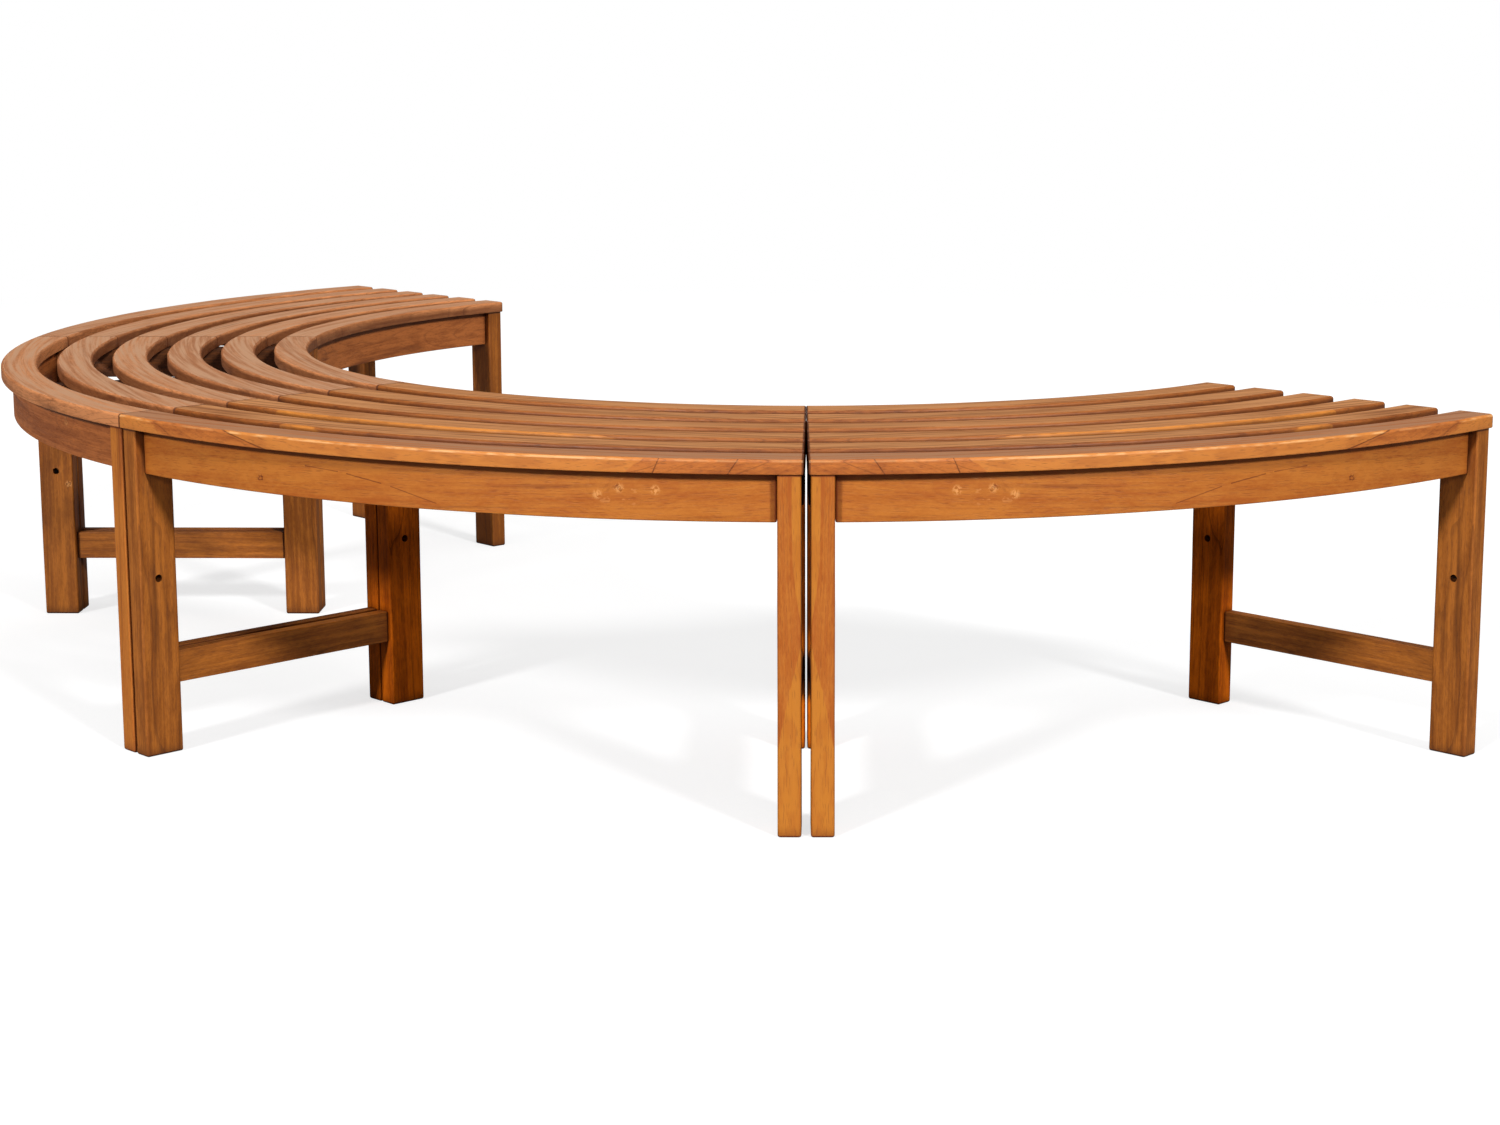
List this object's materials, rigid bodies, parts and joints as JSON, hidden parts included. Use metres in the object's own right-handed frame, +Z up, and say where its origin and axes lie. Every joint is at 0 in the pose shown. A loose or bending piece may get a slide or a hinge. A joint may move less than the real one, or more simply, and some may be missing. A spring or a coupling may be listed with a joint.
{
  "type": "curved garden bench",
  "caption": "Backless curved teak garden bench: free-standing arc sections with concentric seat slats, stood in a half ring to go round a tree.",
  "frame": {"origin": "on the ground, under the middle of the whole bench's outline seen from above", "axes": "+X along the half ring's span, towards section 1; +Y towards the open side, where the tree stands; +Z up"},
  "size_m": [2.482, 1.2542, 0.45],
  "materials": {
    "slat_teak": "oiled teak, planed and sanded, paler on the weathered top face",
    "apron_teak": "oiled teak, sanded, orange brown",
    "leg_teak": "oiled teak, sanded, golden brown with paler sapwood",
    "stretcher_teak": "oiled teak, sanded, reddish brown",
    "bearer_teak": "plain sawn and planed teak, unseen from above"
  },
  "bodies": {
    "root": {"section_1_slat_1": "slat_teak", "section_1_slat_2": "slat_teak", "section_1_slat_3": "slat_teak", "section_1_slat_4": "slat_teak", "section_1_slat_5": "slat_teak", "section_1_slat_6": "slat_teak", "section_1_outer_apron": "apron_teak", "section_1_inner_apron": "apron_teak", "section_1_middle_bearer": "bearer_teak", "section_1_left_outer_leg": "leg_teak", "section_1_left_inner_leg": "leg_teak", "section_1_left_stretcher": "stretcher_teak", "section_1_right_outer_leg": "leg_teak", "section_1_right_inner_leg": "leg_teak", "section_1_right_stretcher": "stretcher_teak", "section_2_slat_1": "slat_teak", "section_2_slat_2": "slat_teak", "section_2_slat_3": "slat_teak", "section_2_slat_4": "slat_teak", "section_2_slat_5": "slat_teak", "section_2_slat_6": "slat_teak", "section_2_outer_apron": "apron_teak", "section_2_inner_apron": "apron_teak", "section_2_middle_bearer": "bearer_teak", "section_2_left_outer_leg": "leg_teak", "section_2_left_inner_leg": "leg_teak", "section_2_left_stretcher": "stretcher_teak", "section_2_right_outer_leg": "leg_teak", "section_2_right_inner_leg": "leg_teak", "section_2_right_stretcher": "stretcher_teak", "section_3_slat_1": "slat_teak", "section_3_slat_2": "slat_teak", "section_3_slat_3": "slat_teak", "section_3_slat_4": "slat_teak", "section_3_slat_5": "slat_teak", "section_3_slat_6": "slat_teak", "section_3_outer_apron": "apron_teak", "section_3_inner_apron": "apron_teak", "section_3_middle_bearer": "bearer_teak", "section_3_left_outer_leg": "leg_teak", "section_3_left_inner_leg": "leg_teak", "section_3_left_stretcher": "stretcher_teak", "section_3_right_outer_leg": "leg_teak", "section_3_right_inner_leg": "leg_teak", "section_3_right_stretcher": "stretcher_teak", "section_4_slat_1": "slat_teak", "section_4_slat_2": "slat_teak", "section_4_slat_3": "slat_teak", "section_4_slat_4": "slat_teak", "section_4_slat_5": "slat_teak", "section_4_slat_6": "slat_teak", "section_4_outer_apron": "apron_teak", "section_4_inner_apron": "apron_teak", "section_4_middle_bearer": "bearer_teak", "section_4_left_outer_leg": "leg_teak", "section_4_left_inner_leg": "leg_teak", "section_4_left_stretcher": "stretcher_teak", "section_4_right_outer_leg": "leg_teak", "section_4_right_inner_leg": "leg_teak", "section_4_right_stretcher": "stretcher_teak"}
  },
  "joints": []
}
